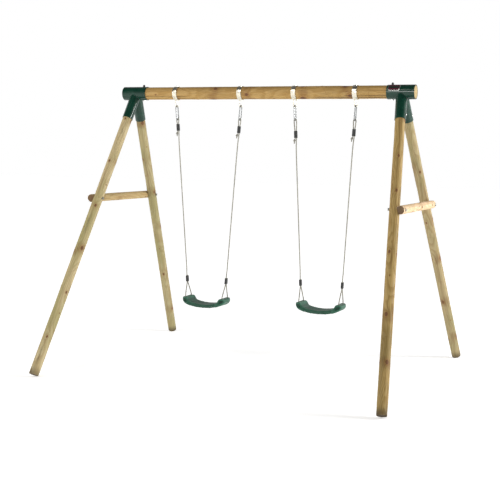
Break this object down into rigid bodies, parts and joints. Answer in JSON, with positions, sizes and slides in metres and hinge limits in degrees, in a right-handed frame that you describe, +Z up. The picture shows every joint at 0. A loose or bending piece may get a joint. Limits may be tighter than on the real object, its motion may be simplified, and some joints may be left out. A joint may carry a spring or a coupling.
{
  "type": "double garden swing set",
  "caption": "Garden swing set: a round timber beam on two A-frames of round poles in green steel corner brackets, with moulded seats hung on ropes with adjusters and spring hooks.",
  "frame": {"origin": "on the ground, under the middle of the beam", "axes": "+X along the beam towards the end with the name plate; -Y towards the front, which the plate faces; +Z up"},
  "size_m": [2.7274, 2.2754, 2.1968],
  "materials": {
    "beam_wood": "machine-rounded softwood, pressure treated, weathered matt",
    "leg_wood": "machine-rounded softwood, pressure treated, pale green-yellow, matt",
    "green_paint": "glossy dark green powder coat on welded steel tube",
    "zinc": "zinc plated steel, semi-gloss",
    "black_plastic": "moulded black plastic",
    "rope": "laid polypropylene rope",
    "green_plastic": "blow-moulded plastic, satin",
    "plate_enamel": "enamelled sheet"
  },
  "bodies": {
    "frame": {"beam": "beam_wood", "leg_left_front": "leg_wood", "leg_left_back": "leg_wood", "leg_right_front": "leg_wood", "leg_right_back": "leg_wood", "crossbar_left": "leg_wood", "crossbar_right": "leg_wood", "bracket_left": "green_paint", "beam_bolt_left": "zinc", "bolt_cap_left": "black_plastic", "bracket_right": "green_paint", "beam_bolt_right": "zinc", "bolt_cap_right": "black_plastic", "leg_screw_left_front": "zinc", "crossbar_bolt_left_front": "zinc", "leg_screw_left_back": "zinc", "crossbar_bolt_left_back": "zinc", "leg_screw_right_front": "zinc", "crossbar_bolt_right_front": "zinc", "leg_screw_right_back": "zinc", "crossbar_bolt_right_back": "zinc", "name_plate": "plate_enamel", "hanger_strap_left_left": "zinc", "strap_screw_left_left": "zinc", "hanger_strap_left_right": "zinc", "strap_screw_left_right": "zinc", "hanger_strap_right_left": "zinc", "strap_screw_right_left": "zinc", "hanger_strap_right_right": "zinc", "strap_screw_right_right": "zinc"},
    "swing_left": {"hook_left_left": "zinc", "gate_pin_left_left": "zinc", "rope_left_left": "rope", "rope_adjuster_left_left": "black_plastic", "rope_clamp_left_left": "black_plastic", "hook_left_right": "zinc", "gate_pin_left_right": "zinc", "rope_left_right": "rope", "rope_adjuster_left_right": "black_plastic", "rope_clamp_left_right": "black_plastic", "seat_left": "green_plastic"},
    "swing_right": {"hook_right_left": "zinc", "gate_pin_right_left": "zinc", "rope_right_left": "rope", "rope_adjuster_right_left": "black_plastic", "rope_clamp_right_left": "black_plastic", "hook_right_right": "zinc", "gate_pin_right_right": "zinc", "rope_right_right": "rope", "rope_adjuster_right_right": "black_plastic", "rope_clamp_right_right": "black_plastic", "seat_right": "green_plastic"},
    "gate_left_left": {"gate_left_left": "zinc"},
    "gate_left_right": {"gate_left_right": "zinc"},
    "gate_right_left": {"gate_right_left": "zinc"},
    "gate_right_right": {"gate_right_right": "zinc"}
  },
  "joints": [
    {"name": "swing_left_hinge", "type": "hinge", "parent": "frame", "child": "swing_left", "pos_m": [-0.451, 0, 2.021], "axis": [1, 0, 0], "range_deg": [-60, 60]},
    {"name": "swing_right_hinge", "type": "hinge", "parent": "frame", "child": "swing_right", "pos_m": [0.513, 0, 2.021], "axis": [1, 0, 0], "range_deg": [-60, 60]},
    {"name": "gate_left_left_hinge", "type": "hinge", "parent": "swing_left", "child": "gate_left_left", "pos_m": [-0.72386, 0.0175, 1.94354], "axis": [0.9969, 0, 0.0791], "range_deg": [0, 22], "stiffness_Nm_per_rad": 0.05, "springref_deg": -11.46},
    {"name": "gate_left_right_hinge", "type": "hinge", "parent": "swing_left", "child": "gate_left_right", "pos_m": [-0.18194, 0.0175, 1.94353], "axis": [0.9971, 0, -0.0764], "range_deg": [0, 22], "stiffness_Nm_per_rad": 0.05, "springref_deg": -11.46},
    {"name": "gate_right_left_hinge", "type": "hinge", "parent": "swing_right", "child": "gate_right_left", "pos_m": [0.27436, 0.0175, 1.94342], "axis": [0.9984, 0, 0.0561], "range_deg": [0, 22], "stiffness_Nm_per_rad": 0.05, "springref_deg": -11.46},
    {"name": "gate_right_right_hinge", "type": "hinge", "parent": "swing_right", "child": "gate_right_right", "pos_m": [0.7469, 0.0175, 1.94341], "axis": [0.9986, 0, -0.0528], "range_deg": [0, 22], "stiffness_Nm_per_rad": 0.05, "springref_deg": -11.46}
  ]
}
